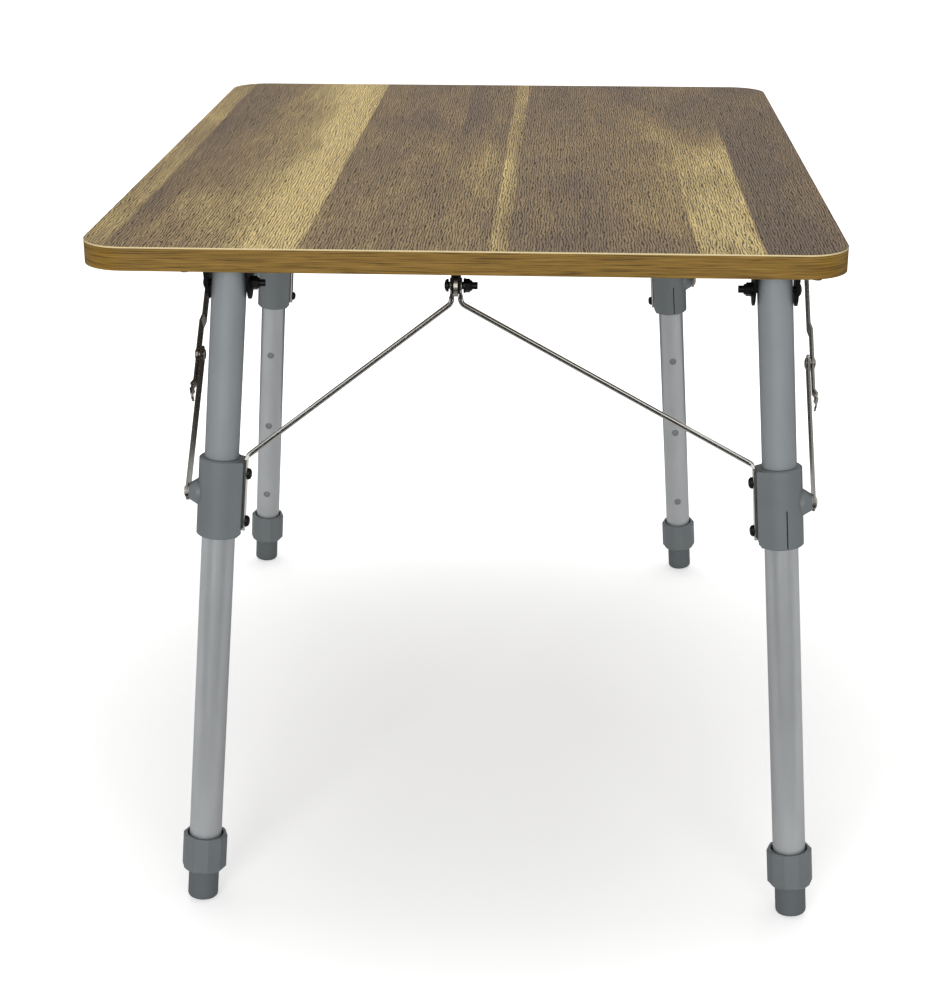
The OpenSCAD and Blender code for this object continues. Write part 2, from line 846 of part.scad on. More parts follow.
// Side view of the upper link's strip: [outwards, along], with its joggle and pressed lugs
function strip_line() =
    let (
        step = link_length - joggle_distance,
        lug = link_length + tail_length - lug_pitch * 2.8,
        low = link_thickness,
        high = link_thickness + lug_height
    )
    [
        [0, -link_width], [0, step - joggle_slope], [low, step],
        [low, lug - lug_pitch * 0.8], [high, lug],
        [low + lug_height * 0.4, lug + lug_pitch / 2], [high, lug + lug_pitch],
        [low, link_length + tail_length + 1]
    ];

module stay_upper_link(end, side) {
    line = strip_line();
    back = [for (i = [len(line) - 1 : -1 : 0]) line[i] + [link_thickness, 0]];
    color(steel)
        on_side(end, side)
            translate([0, stay_at[0], stay_at[1]])
                rotate([link_angle + 180, 0, 0]) {
                    difference() {
                        intersection() {
                            plate_x(upper_link_x, link_thickness * 3 + lug_height)
                                union() {
                                    hull() {
                                        circle(d = link_width, $fn = large_fn);
                                        translate([link_length, 0])
                                            circle(d = link_width, $fn = large_fn);
                                    }
                                    hull() {
                                        translate([link_length, 0])
                                            circle(d = tail_width, $fn = large_fn);
                                        translate([link_length + tail_length - tail_width / 2, 0])
                                            circle(d = tail_width, $fn = large_fn);
                                    }
                                }
                            translate([upper_link_x, 0, -link_width])
                                linear_extrude(2 * link_width)
                                    polygon(concat(line, back));
                        }
                        rod_x(upper_link_x - 1, link_thickness + 2, rivet_d + 2 * run, large_fn);
                    }
                    translate([0, link_length, 0]) {
                        rod_x(upper_link_x, link_thickness * 1.5, rivet_head_d, large_fn);
                        rod_x(upper_link_x + link_thickness, link_thickness * 1.5, rivet_d);
                        dome_x(upper_link_x + 2 * link_thickness, rivet_head_h, rivet_head_d);
                    }
                }
}

// Feet

// Split nylon ring on the end of the lower tube, which the collar squeezes
module collets(end) {
    color([0.85, 0.85, 0.83])
        for (side = [-1, 1])
            at_leg(end, side)
                difference() {
                    tube(lower_tube_bottom, lower_tube_bottom + collet_length,
                         collar_bore / 2 - run, lower_tube_d / 2 + fix);
                    translate([0, -collet_slit / 2, lower_tube_bottom - 1])
                        cube([collar_bore, collet_slit, collet_length + 2]);
                }
}

module locking_collar(end, side) {
    corner_d = collar_width / cos(180 / collar_flats);
    straight = collar_length - collar_bevel - rim_bevel;
    color(grey)
        at_leg(end, side)
            translate([0, 0, collar_bottom])
                difference() {
                    union() {
                        cylinder(h = collar_bevel, d1 = corner_d - 2 * collar_bevel, d2 = corner_d,
                                 $fn = collar_flats);
                        translate([0, 0, collar_bevel])
                            cylinder(h = straight, d = corner_d, $fn = collar_flats);
                        translate([0, 0, collar_length - rim_bevel])
                            cylinder(h = rim_bevel, d1 = corner_d, d2 = corner_d - 1.6 * rim_bevel,
                                     $fn = collar_flats);
                    }
                    translate([0, 0, -1])
                        cylinder(h = collar_length, r = inner_r + run, $fn = large_fn);
                    translate([0, 0, collar_floor])
                        cylinder(h = collar_length, d = collar_bore, $fn = large_fn);
                }
}

module inner_leg(end, side) {
    color(silver)
        at_leg(end, side)
            tube(inner_bottom, inner_top, inner_r, inner_bore);
}

// Foot cap: a domed foot with a plug in the inner leg; the sole just meets the floor
module foot_cap(end, side) {
    r = foot_d / 2;
    centre = sole_radius / cos(leg_tilt);
    round_at = r - foot_rounding;
    rise = centre - sqrt(pow(sole_radius - foot_rounding, 2) - pow(round_at, 2));
    sweep = asin(round_at / (sole_radius - foot_rounding));
    color(grey)
        at_leg(end, side)
            rotate_extrude($fn = large_fn)
                polygon(concat(
                    [for (a = [0 : 4]) let (t = sweep * a / 4)
                        [sole_radius * sin(t), centre - sole_radius * cos(t)]],
                    [for (a = [1 : 3]) let (t = sweep + (90 - sweep) * a / 3)
                        [round_at + foot_rounding * sin(t), rise - foot_rounding * cos(t)]],
                    [[r, inner_bottom], [inner_bore - fix, inner_bottom],
                     [inner_bore - fix, inner_bottom + plug_length - 1],
                     [inner_bore - fix - 1, inner_bottom + plug_length],
                     [0, inner_bottom + plug_length]]
                ));
}

tabletop_board();
top_laminate();
edge_band();
rubber_bumpers();
leg_bracket(front, -1);  // leg_bracket_front_left
leg_bracket(front, 1);  // leg_bracket_front_right
leg_bracket(rear, 1);  // leg_bracket_rear_left
leg_bracket(rear, -1);  // leg_bracket_rear_right
brace_bracket(front);  // brace_bracket_front
brace_bracket(rear);  // brace_bracket_rear
brace_spacers();
stay_bracket(front, -1);  // stay_bracket_front_left
stay_bracket(front, 1);  // stay_bracket_front_right
stay_bracket(rear, 1);  // stay_bracket_rear_left
stay_bracket(rear, -1);  // stay_bracket_rear_right
pivot_bolts();
lock_nuts();
wood_screws();
upper_tube(front, -1);  // upper_tube_front_left
upper_tube(front, 1);  // upper_tube_front_right
upper_tube(rear, 1);  // upper_tube_rear_left
upper_tube(rear, -1);  // upper_tube_rear_right
sleeve(front, -1);  // sleeve_front_left
sleeve(front, 1);  // sleeve_front_right
sleeve(rear, 1);  // sleeve_rear_left
sleeve(rear, -1);  // sleeve_rear_right
lower_tube(front, -1);  // lower_tube_front_left
lower_tube(front, 1);  // lower_tube_front_right
lower_tube(rear, 1);  // lower_tube_rear_left
lower_tube(rear, -1);  // lower_tube_rear_right
wire_brace(front, -1);  // wire_brace_front_left
wire_brace(front, 1);  // wire_brace_front_right
wire_brace(rear, 1);  // wire_brace_rear_left
wire_brace(rear, -1);  // wire_brace_rear_right
strip_screws(front);  // strip_screws_front
strip_screws(rear);  // strip_screws_rear
stay_rivets(front);  // stay_rivets_front
stay_rivets(rear);  // stay_rivets_rear
collets(front);  // collets_front
collets(rear);  // collets_rear
locking_collar(front, -1);  // locking_collar_front_left
locking_collar(front, 1);  // locking_collar_front_right
locking_collar(rear, 1);  // locking_collar_rear_left
locking_collar(rear, -1);  // locking_collar_rear_right
inner_leg(front, -1);  // inner_leg_front_left
inner_leg(front, 1);  // inner_leg_front_right
inner_leg(rear, 1);  // inner_leg_rear_left
inner_leg(rear, -1);  // inner_leg_rear_right
foot_cap(front, -1);  // foot_cap_front_left
foot_cap(front, 1);  // foot_cap_front_right
foot_cap(rear, 1);  // foot_cap_rear_left
foot_cap(rear, -1);  // foot_cap_rear_right
stay_upper_link(front, -1);  // stay_upper_link_front_left
stay_upper_link(front, 1);  // stay_upper_link_front_right
stay_upper_link(rear, 1);  // stay_upper_link_rear_left
stay_upper_link(rear, -1);  // stay_upper_link_rear_right
stay_lower_link(front, -1);  // stay_lower_link_front_left
stay_lower_link(front, 1);  // stay_lower_link_front_right
stay_lower_link(rear, 1);  // stay_lower_link_rear_left
stay_lower_link(rear, -1);  // stay_lower_link_rear_right
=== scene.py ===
"""Finishes of a folding camping table: a printed board top on two pairs of telescopic legs.

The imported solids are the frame. This script gives each of them its finish, forges the wire
braces in finer form, and sets up a plain studio.
"""
import json
import math

import bpy
from mathutils import Matrix, Vector


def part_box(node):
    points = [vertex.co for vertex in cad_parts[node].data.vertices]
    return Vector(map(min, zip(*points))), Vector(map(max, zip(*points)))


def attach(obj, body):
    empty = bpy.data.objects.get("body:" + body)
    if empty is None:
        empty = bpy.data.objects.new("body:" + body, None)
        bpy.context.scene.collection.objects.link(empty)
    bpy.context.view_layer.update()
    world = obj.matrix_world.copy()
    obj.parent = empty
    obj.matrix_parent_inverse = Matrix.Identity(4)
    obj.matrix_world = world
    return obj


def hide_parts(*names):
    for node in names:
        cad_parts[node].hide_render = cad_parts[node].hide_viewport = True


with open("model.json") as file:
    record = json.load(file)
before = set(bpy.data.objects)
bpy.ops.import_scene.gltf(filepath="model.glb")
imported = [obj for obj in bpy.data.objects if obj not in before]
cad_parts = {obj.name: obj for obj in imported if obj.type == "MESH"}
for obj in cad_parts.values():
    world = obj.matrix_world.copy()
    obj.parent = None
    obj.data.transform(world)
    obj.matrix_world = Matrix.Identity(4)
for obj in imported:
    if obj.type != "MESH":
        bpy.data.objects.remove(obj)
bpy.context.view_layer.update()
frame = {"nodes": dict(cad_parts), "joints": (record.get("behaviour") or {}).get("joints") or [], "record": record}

bl_info = {
    "name": "Camping Table Finishes",
    "version": (1, 0, 0),
    "blender": (4, 5, 0),
    "location": "View3D > Sidebar > Camping Table",
    "description": "Finishes, forged braces and studio for a folding camping table",
    "category": "Object",
}

MM = 0.001
NODES = frame["nodes"]
JOINTS = {joint["name"]: joint for joint in frame["joints"]}
BODY_OF = {
    node: body
    for body, nodes in frame["record"]["behaviour"]["bodies"].items()
    for node in nodes
}
CORNERS = ("front_left", "front_right", "rear_left", "rear_right")
ENDS = ("front", "rear")

WAVE_BANDS = 20 / math.tau  # bands that a wave texture lays in one of its cells

ARRIS_ANGLE = math.radians(38)  # an edge sharper than this is rounded
ARRIS_SEGMENTS = 3
CREASE_ANGLE = math.radians(40)  # an edge sharper than this keeps its crease

SQUARENESS = 0.62  # how far a forged section goes from an ellipse to a rectangle
SQUARE_EXCESS = 0.8  # width over depth, less one, at which it has gone that far
BLUNT_TIP = 0.02  # square of the share of its width that a strip keeps at its very end
EYE_BEVEL = 0.4 * MM  # bevel of the eye's rim along its radius
EYE_RIM = 0.65  # share of the eye's thickness that its rim keeps

# Softboxes: name, place, target and side, in metres
SOFTBOXES = (
    ("key_softbox", (-1.1, -4.4, 1.3), (0, 0, 0.35), 1.6),
    ("fill_softbox", (1.5, -4.2, 1.1), (0, 0, 0.3), 1.6),
    ("top_softbox", (0, 0.6, 2.4), (0, 0, 0.5), 2.0),
)

# Black flags: name, corner and two sides, in metres
FLAGS = (
    ("side_flag", (-1.3, 0.5, 0), (0, 2.1, 0), (0, 0, 1.5)),
    ("side_flag", (1.3, 0.5, 0), (0, 2.1, 0), (0, 0, 1.5)),
    ("wall_flag", (-2.5, -2.7, 0), (5, 0, 0), (0, 0, 1.6)),
    ("front_flag", (-1.6, -2.6, 0.001), (3.2, 0, 0), (0, 1.95, 0)),
    ("rear_flag", (-1.6, 0.75, 0.001), (3.2, 0, 0), (0, 1.65, 0)),
)


# Colours

def linear(hex_colour):
    """An sRGB hex colour as linear RGB."""
    channels = (int(hex_colour[i:i + 2], 16) / 255 for i in (1, 3, 5))
    return tuple(
        c / 12.92 if c <= 0.04045 else ((c + 0.055) / 1.055) ** 2.4 for c in channels
    )


def rgba(colour):
    """A linear RGB colour, or an sRGB hex colour, with full alpha."""
    rgb = linear(colour) if isinstance(colour, str) else tuple(colour)
    return (*rgb, 1.0)


def dimmed(colour, share):
    """A colour with each channel taken to a share of itself."""
    return tuple(channel * share for channel in colour)


def tint(name, words, hex_colour):
    """A colour property with its default."""
    return bpy.props.FloatVectorProperty(
        name=name, description=words, subtype="COLOR", size=3, min=0, max=1,
        default=linear(hex_colour),
    )


def size(name, words, millimetres):
    """A length property with its default in millimetres."""
    return bpy.props.FloatProperty(
        name=name, description=words, subtype="DISTANCE", unit="LENGTH", min=0,
        default=millimetres * MM,
    )


def number(name, words, value, low=0.0, high=1000.0):
    """A plain number property with its default."""
    return bpy.props.FloatProperty(
        name=name, description=words, default=value, min=low, max=high
    )


class TableTopSettings(bpy.types.PropertyGroup):
    """Colours and pattern sizes of the tabletop."""

    plank_dark: tint("Dark plank", "Smoked face of the printed planks", "#5F4C38")
    plank_mid: tint("Middle plank", "Weathered brown of the printed planks", "#806A46")
    plank_tan: tint("Tan plank", "Worn tan of the printed planks", "#A58E5C")
    plank_pale: tint("Pale plank", "Bare pale streaks of the printed planks", "#D0B87C")
    lip: tint("Laminate edge", "Cut edge of the laminate", "#D9C79A")
    oak: tint("Oak band", "Face of the edge band", "#785A15")
    oak_dark: tint("Oak grain", "Grain lines of the edge band", "#46300C")
    oak_light: tint("Light oak", "Light streaks of the edge band", "#92712D")
    backing: tint("Backing", "Underside of the board", "#7A6A55")
    backing_dark: tint("Dark backing", "Dark fibres of the underside", "#6C5D49")
    backing_light: tint("Light backing", "Light fibres of the underside", "#857560")
    grain_pitch: size("Grain pitch", "Distance between two grain lines", 2.3)
    grain_run: size("Grain run", "Length over which a grain line wavers", 32)
    pore_width: size("Pore width", "Width of an embossed pore", 1.6)
    pore_length: size("Pore length", "Length of an embossed pore", 16)
    pore_depth: size("Pore depth", "Depth of an embossed pore", 0.25)
    pore_shade: number("Pore shade", "Brightness of the print in a pore", 0.15, 0, 2)
    face_shade: number("Face shade", "Brightness of the print between pores", 1.26, 0, 2)
    seam_waver: size("Seam waver", "How far a seam between planks wanders", 4)
    patch_width: size("Patch width", "Width of a worn patch across a plank", 60)
    patch_length: size("Patch length", "Length of a worn patch along a plank", 210)
    patch_contrast: number("Patch contrast", "Tone that a worn patch adds or takes", 0.19, 0, 1)
    fibre_contrast: number("Fibre contrast", "Tone that a fibre adds or takes", 0.1, 0, 1)
    laminate_arris: size("Laminate arris", "Rounding of the laminate's edge", 0.35)
    band_arris: size("Band arris", "Rounding of the edge band's edges", 0.5)
    band_run: size("Band run", "Length of a grain line on the edge band", 50)
    band_grain: size("Band grain", "Height of a grain line on the edge band", 0.8)


class LegSettings(bpy.types.PropertyGroup):
    """Colours of the legs and their mouldings."""

    painted: tint("Upper tube", "Painted upper tube", "#868C8F")
    anodised: tint("Lower tube", "Anodised lower tube", "#BCBFC1")
    # Painted shade: the inner tube is coloured darker than the lower tube so that the holes it shows through look
    # shaded.
    inner: tint("Inner tube", "Drawn inner tube", "#85888B")
    moulding: tint("Moulding", "Grey sleeves and collars", "#696F71")
    foot: tint("Foot", "Grey feet", "#595F61")
    arris: size("Moulded arris", "Rounding of a moulded edge", 0.9)
    tube_arris: size("Tube arris", "Rounding of the lower tube's cut ends", 0.4)
    foot_round: size("Foot rounding", "Rounding of the foot's lower edge", 2.4)


class HardwareSettings(bpy.types.PropertyGroup):
    """Colours and sizes of wires, links and fasteners."""

    plated: tint("Bright plating", "Nickel plated wire and links", "#DAD8D2")
    link: tint("Stay links", "Bright zinc of the stay links", "#8E8B86")
    black: tint("Black paint", "Black brackets, bolts and screws", "#070708")
    zinc: tint("Zinc", "Zinc plated screws and rivets", "#B8B3A5")
    nylon: tint("Nylon", "White nylon spacers", "#E4E3DD")
    rubber: tint("Rubber", "Black rubber pads", "#141414")
    plate_arris: size("Plate arris", "Rounding of a pressed bracket's edge", 0.4)
    fine_arris: size("Fine arris", "Rounding of a link's, bolt's or nut's edge", 0.3)
    pad_arris: size("Pad arris", "Rounding of a rubber pad's edge", 0.4)
    wire: size("Wire diameter", "Diameter of the brace wire", 4.6)
    bend: size("Wire bend", "Inside radius of the wire's bends", 4)
    flattening: size("Flattening", "Length over which the wire turns flat", 4)
    eye_radius: size("Eye radius", "Outer radius of the brace's eye", 6.5)
    eye_bore: size("Eye bore", "Bore of the brace's eye", 6.16)
    eye_thickness: size("Eye thickness", "Thickness of the brace's eye", 2.3)
    eye_width: size("Eye neck", "Width of the flat bar at the eye", 6.5)
    eye_lap: size("Eye lap", "How far the bar runs into the eye", 2)
    eye_drop: size("Eye drop", "Distance from the eye to the wire's first bend", 14.5)
    knee_rise: size("Knee rise", "Height of the wire's second bend above the sleeve", 1.5)
    strip_width: size("Strip width", "Width of the flat strip on the sleeve", 11)
    strip_thickness: size("Strip thickness", "Thickness of the flat strip", 2.6)


class StudioSettings(bpy.types.PropertyGroup):
    """Camera, floor and lamps."""

    floor: tint("Floor", "Pale studio floor", "#F6F6F6")
    floor_side: size("Floor side", "Side of the square floor", 24000)
    shadow_core: size("Shadow core", "Distance at which the floor starts to brighten", 250)
    shadow_end: size("Shadow end", "Distance at which the floor is brightest", 1100)
    glow_near: number("Glow near", "Glow of the floor under the table", 0.42, 0, 5)
    glow_far: number("Glow far", "Glow of the floor away from the table", 0.9, 0, 5)
    camera_at: bpy.props.FloatVectorProperty(
        name="Camera place", description="Camera place from the floor under the table's centre",
        subtype="TRANSLATION", unit="LENGTH", size=3, default=(0.080, -1.867, 0.946),
    )
    yaw: bpy.props.FloatProperty(
        name="Yaw", description="Camera heading, clockwise from the table's length",
        subtype="ANGLE", default=math.radians(-2.97),
    )
    pitch: bpy.props.FloatProperty(
        name="Pitch", description="Camera tilt below the horizon", subtype="ANGLE",
        default=math.radians(20.93),
    )
    lens: number("Lens", "Focal length in millimetres", 70.43, 10, 500)
    key_softbox: number("Key light", "Power of the key softbox in watts", 74)
    fill_softbox: number("Fill light", "Power of the fill softbox in watts", 40)
    top_softbox: number("Top light", "Power of the overhead softbox in watts", 22)
    ambient: number("Ambient", "Strength of the surroundings", 0.34, 0, 5)


# Materials

def add_node(tree, kind, inputs=None, **settings):
    """Adds a node with its settings; an input is a value or another node's output."""
    node = tree.nodes.new(kind)
    for key, value in settings.items():
        setattr(node, key, value)
    for key, value in (inputs or {}).items():
        if isinstance(value, bpy.types.NodeSocket):
            tree.links.new(value, node.inputs[key])
        else:
            node.inputs[key].default_value = value
    return node


def new_material(name, colour, roughness, metallic=0.0, **sockets):
    """A material with its Principled shader, and its tree."""
    material = bpy.data.materials.new(name)
    material.use_nodes = True
    tree = material.node_tree
    shader = tree.nodes["Principled BSDF"]
    values = {"Base Color": rgba(colour), "Roughness": roughness, "Metallic": metallic, **sockets}
    for key, value in values.items():
        shader.inputs[key].default_value = value
    material.diffuse_color = rgba(colour)
    return material, tree, shader


def mm(*lengths):
    """Lengths in millimetres as metres."""
    return tuple(length * MM for length in lengths)


def object_place(tree, cell):
    """Object coordinates counted in cells of the given size in metres."""
    place = add_node(tree, "ShaderNodeTexCoord")
    mapping = add_node(tree, "ShaderNodeMapping", {
        "Vector": place.outputs["Object"], "Scale": tuple(1 / c for c in cell),
    })
    return mapping.outputs["Vector"]


def noise(tree, cell, detail, roughness=0.5, distortion=0.0):
    """Noise with cells of the given size in metres."""
    return add_node(tree, "ShaderNodeTexNoise", {
        "Vector": object_place(tree, cell), "Scale": 1.0, "Detail": detail,
        "Roughness": roughness, "Distortion": distortion,
    }).outputs["Fac"]


def remap(tree, value, start, stop, low=0.0, high=1.0, easing="LINEAR"):
    """A value's range from start to stop, turned to the range from low to high."""
    return add_node(tree, "ShaderNodeMapRange", {
        "Value": value, "From Min": start, "From Max": stop, "To Min": low, "To Max": high,
    }, interpolation_type=easing).outputs["Result"]


def combine(tree, operation, *values):
    """The result of a sum on values or outputs."""
    return add_node(
        tree, "ShaderNodeMath", dict(enumerate(values)), operation=operation
    ).outputs["Value"]


def ramp(tree, factor, stops, interpolation="LINEAR"):
    """A colour ramp from (position, colour) stops."""
    node = add_node(tree, "ShaderNodeValToRGB", {"Fac": factor})
    node.color_ramp.interpolation = interpolation
    elements = node.color_ramp.elements
    while len(elements) < len(stops):
        elements.new(1.0)
    for element, (position, colour) in zip(elements, stops):
        element.position = position
        element.color = rgba(colour) if not isinstance(colour, float) else (colour,) * 3 + (1,)
    return node.outputs["Color"]


def grain_bump(tree, shader, height, depth, strength=1.0):
    """Bump of a height from 0 to 1 that stands for a depth in metres."""
    bump = add_node(tree, "ShaderNodeBump", {
        "Height": height, "Distance": depth, "Strength": strength,
    })
    tree.links.new(bump.outputs["Normal"], shader.inputs["Normal"])


def plank_tone(tree, top, place):
    """Lightness of the print: each plank has its own course from dark to pale, is darker
    towards the rear, and has worn patches and fibres along it."""
    lo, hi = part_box("top_laminate")
    across = add_node(tree, "ShaderNodeSeparateXYZ", {"Vector": place})
    waver = noise(tree, mm(300, 90, 1000), 2.0)
    drift = combine(tree, "MULTIPLY_ADD", waver, top.seam_waver, across.outputs["X"])
    share = remap(tree, drift, lo.x, hi.x)

    def plank_ramp(stops, interpolation="LINEAR"):
        """A ramp across the planks from (millimetres to the right, tone) stops."""
        places = [((x * MM - lo.x) / (hi.x - lo.x), tone) for x, tone in stops]
        return ramp(tree, share, places, interpolation)

    lightness = plank_ramp([
        (-300, 0.62), (-276, 0.56), (-275, 0.34), (-215, 0.42), (-155, 0.88), (-123, 0.78),
        (-122, 0.34), (-26, 0.38), (-25, 0.28), (24, 0.38), (25, 0.80), (38, 0.50),
        (39, 0.20), (120, 0.24), (184, 0.40), (185, 0.74), (235, 0.78), (236, 0.05), (300, 0.10),
    ])
    rear_shade = plank_ramp([
        (-300, 0.10), (-276, 0.10), (-275, 0.30), (-185, 0.04), (-123, 0.10), (-122, 0.14),
        (24, 0.24), (25, 0.30), (39, 0.04), (184, 0.12), (185, 0.56), (235, 0.50), (236, 0.0),
    ])
    seed = plank_ramp([
        (-300, 0.1), (-275, 0.35), (-122, 0.6), (-25, 0.2), (39, 0.85), (185, 0.05), (236, 0.5),
    ], "CONSTANT")
    rearward = remap(tree, across.outputs["Y"], -0.1, 0.28, easing="SMOOTHSTEP")
    shaded = combine(tree, "MULTIPLY", rear_shade, rearward)
    plank = combine(tree, "SUBTRACT", lightness, shaded)

    shifted = add_node(tree, "ShaderNodeVectorMath", {0: place, 1: seed}, operation="ADD")
    stretched = add_node(tree, "ShaderNodeMapping", {
        "Vector": shifted.outputs["Vector"],
        "Scale": (1 / top.patch_width, 1 / top.patch_length, 1),
    })
    patches = add_node(tree, "ShaderNodeTexNoise", {
        "Vector": stretched.outputs["Vector"], "Scale": 1.0, "Detail": 3.0,
        "Roughness": 0.5, "Distortion": 0.3,
    }).outputs["Fac"]
    worn = remap(tree, patches, 0.3, 0.7, -top.patch_contrast, top.patch_contrast)
    fibres = noise(tree, mm(3.5, 55, 1000), 3.0, distortion=0.6)
    fibre_tone = remap(tree, fibres, 0.3, 0.7, -top.fibre_contrast, top.fibre_contrast)
    return combine(tree, "ADD", combine(tree, "ADD", worn, plank), fibre_tone)


def open_pores(tree, top):
    """Embossed grain, 0 in a pore and 1 on the face: wavering lines with breaks in them."""
    grain = add_node(tree, "ShaderNodeTexWave", {
        "Vector": object_place(tree, (top.grain_pitch * WAVE_BANDS, top.grain_run, 1)),
        "Scale": 1.0, "Distortion": 9.0, "Detail": 3.0, "Detail Scale": 1.4,
        "Detail Roughness": 0.6,
    }, wave_type="BANDS", bands_direction="X").outputs["Fac"]
    breaks = noise(tree, (top.pore_width, top.pore_length, 1), 2.0, 0.6, 0.6)
    return combine(
        tree, "MAXIMUM", remap(tree, grain, 0.05, 0.6), remap(tree, breaks, 0.5, 0.72)
    )


def printed_laminate(top):
    """Melamine laminate, printed with smoked planks and pressed with open pores: satin, so
    the pores show as short dark strokes and the light lies in soft streaks along the planks."""
    material, tree, shader = new_material(
        "laminate_printed_embossed", top.plank_mid, 0.6, **{"Specular IOR Level": 0.2}
    )
    place = add_node(tree, "ShaderNodeTexCoord").outputs["Object"]
    wood = ramp(tree, plank_tone(tree, top, place), [
        (0.0, top.plank_dark), (0.36, top.plank_mid), (0.62, top.plank_tan), (0.9, top.plank_pale),
    ])
    pores = open_pores(tree, top)
    face = add_node(tree, "ShaderNodeVectorMath", {
        0: wood, "Scale": remap(tree, pores, 0, 1, top.pore_shade, top.face_shade),
    }, operation="SCALE")
    normal = add_node(tree, "ShaderNodeNewGeometry")
    upward = add_node(tree, "ShaderNodeSeparateXYZ", {"Vector": normal.outputs["True Normal"]})
    is_face = combine(tree, "GREATER_THAN", upward.outputs["Z"], 0.9)
    # The colour sockets of a Mix node are 6 and 7, and its colour output is 2.
    coloured = add_node(tree, "ShaderNodeMix", {
        0: is_face, 6: rgba(top.lip), 7: face.outputs["Vector"],
    }, data_type="RGBA")
    tree.links.new(coloured.outputs[2], shader.inputs["Base Color"])
    tree.links.new(remap(tree, pores, 0, 1, 0.78, 0.55), shader.inputs["Roughness"])
    grain_bump(tree, shader, pores, top.pore_depth, 0.7)
    return material


def oak_edge_band(top):
    """ABS band, printed with oak and lacquered: long level grain with a soft sheen."""
    material, tree, shader = new_material(
        "edge_band_printed_oak", top.oak, 0.5, **{"Specular IOR Level": 0.3}
    )
    grain = noise(tree, (top.band_run, top.band_run, top.band_grain), 4.0, 0.6, 0.5)
    colour = ramp(tree, grain, [(0.36, top.oak_dark), (0.47, top.oak), (0.64, top.oak_light)])
    tree.links.new(colour, shader.inputs["Base Color"])
    grain_bump(tree, shader, grain, 0.1 * MM, 0.4)
    return material


def backing_board(top):
    """Phenolic backing paper, pressed on the board's underside: plain, matt and fibrous."""
    material, tree, shader = new_material("backing_paper_pressed", top.backing, 0.75)
    fibres = noise(tree, mm(4, 30, 4), 5.0)
    colour = ramp(tree, fibres, [(0.3, top.backing_dark), (0.7, top.backing_light)])
    tree.links.new(colour, shader.inputs["Base Color"])
    grain_bump(tree, shader, fibres, 0.05 * MM, 0.3)
    return material


def drawn_tube(name, colour, roughness, metallic, streak):
    """Extruded aluminium tube: fine drawing lines run along it and break up its sheen."""
    material, tree, shader = new_material(name, colour, roughness, metallic)
    lines = noise(tree, mm(1.2, 1.2, 120), 3.0)
    rough = remap(tree, lines, 0, 1, roughness - streak, roughness + streak)
    tree.links.new(rough, shader.inputs["Roughness"])
    clouds = noise(tree, mm(20, 20, 60), 4.0)
    shade = ramp(tree, clouds, [(0.3, dimmed(colour, 0.9)), (0.7, colour)])
    tree.links.new(shade, shader.inputs["Base Color"])
    grain_bump(tree, shader, lines, 0.02 * MM, 0.3)
    return material


def moulded_plastic(name, colour, roughness=0.48):
    """Glass-filled nylon, moulded in a spark-eroded tool: even grey with a fine leathery grain."""
    material, tree, shader = new_material(name, colour, roughness, IOR=1.53)
    clouds = noise(tree, mm(30, 30, 30), 3.0)
    shade = ramp(tree, clouds, [(0.3, dimmed(colour, 0.92)), (0.7, colour)])
    tree.links.new(shade, shader.inputs["Base Color"])
    grain_bump(tree, shader, noise(tree, mm(0.9, 0.9, 0.9), 2.0), 0.05 * MM, 0.35)
    return material


def plated_steel(name, colour, roughness):
    """Steel with bright nickel or zinc: mirror-like, faintly dulled in patches."""
    material, tree, shader = new_material(name, colour, roughness, 1.0)
    haze = noise(tree, mm(4, 4, 4), 4.0)
    rough = remap(tree, haze, 0, 1, roughness * 0.6, roughness * 1.5)
    tree.links.new(rough, shader.inputs["Roughness"])
    return material


def black_steel(name, colour, roughness):
    """Steel with black cathodic paint: dark and satin, with a faint orange peel."""
    material, tree, shader = new_material(name, colour, roughness, **{"Specular IOR Level": 0.25})
    peel = noise(tree, mm(1.5, 1.5, 1.5), 2.0)
    grain_bump(tree, shader, peel, 0.04 * MM, 0.3)
    rough = remap(tree, peel, 0, 1, roughness - 0.08, roughness + 0.08)
    tree.links.new(rough, shader.inputs["Roughness"])
    return material


def soft_matter(name, colour, roughness):
    """Rubber or nylon, moulded: matt, with a dusty bloom that lightens it unevenly."""
    material, tree, shader = new_material(name, colour, roughness)
    bloom = noise(tree, mm(3, 3, 3), 3.0)
    shade = ramp(tree, bloom, [(0.3, dimmed(colour, 0.85)), (0.75, colour)])
    tree.links.new(shade, shader.inputs["Base Color"])
    return material


# Dressing the solids

def finish_solid(node, material, arris=0.0):
    """Gives a CAD node its material, and rounds its edges where an arris is given."""
    piece = NODES[node]
    piece.data.materials.clear()
    piece.data.materials.append(material)
    if arris:
        edge = piece.modifiers.new("arris", "BEVEL")
        edge.width = arris
        edge.segments = ARRIS_SEGMENTS
        edge.limit_method = "ANGLE"
        edge.angle_limit = ARRIS_ANGLE
        edge.harden_normals = True


def mesh_piece(name, points, faces, material, body, node):
    """A smooth mesh piece in the frame that rides on a body and stands for a node."""
    mesh = bpy.data.meshes.new(name)
    mesh.from_pydata([tuple(p) for p in points], [], faces)
    mesh.validate()
    mesh.update()
    mesh.shade_smooth()
    mesh.set_sharp_from_angle(angle=CREASE_ANGLE)
    mesh.materials.append(material)
    piece = bpy.data.objects.new(name, mesh)
    bpy.context.scene.collection.objects.link(piece)
    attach(piece, body)
    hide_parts(node)


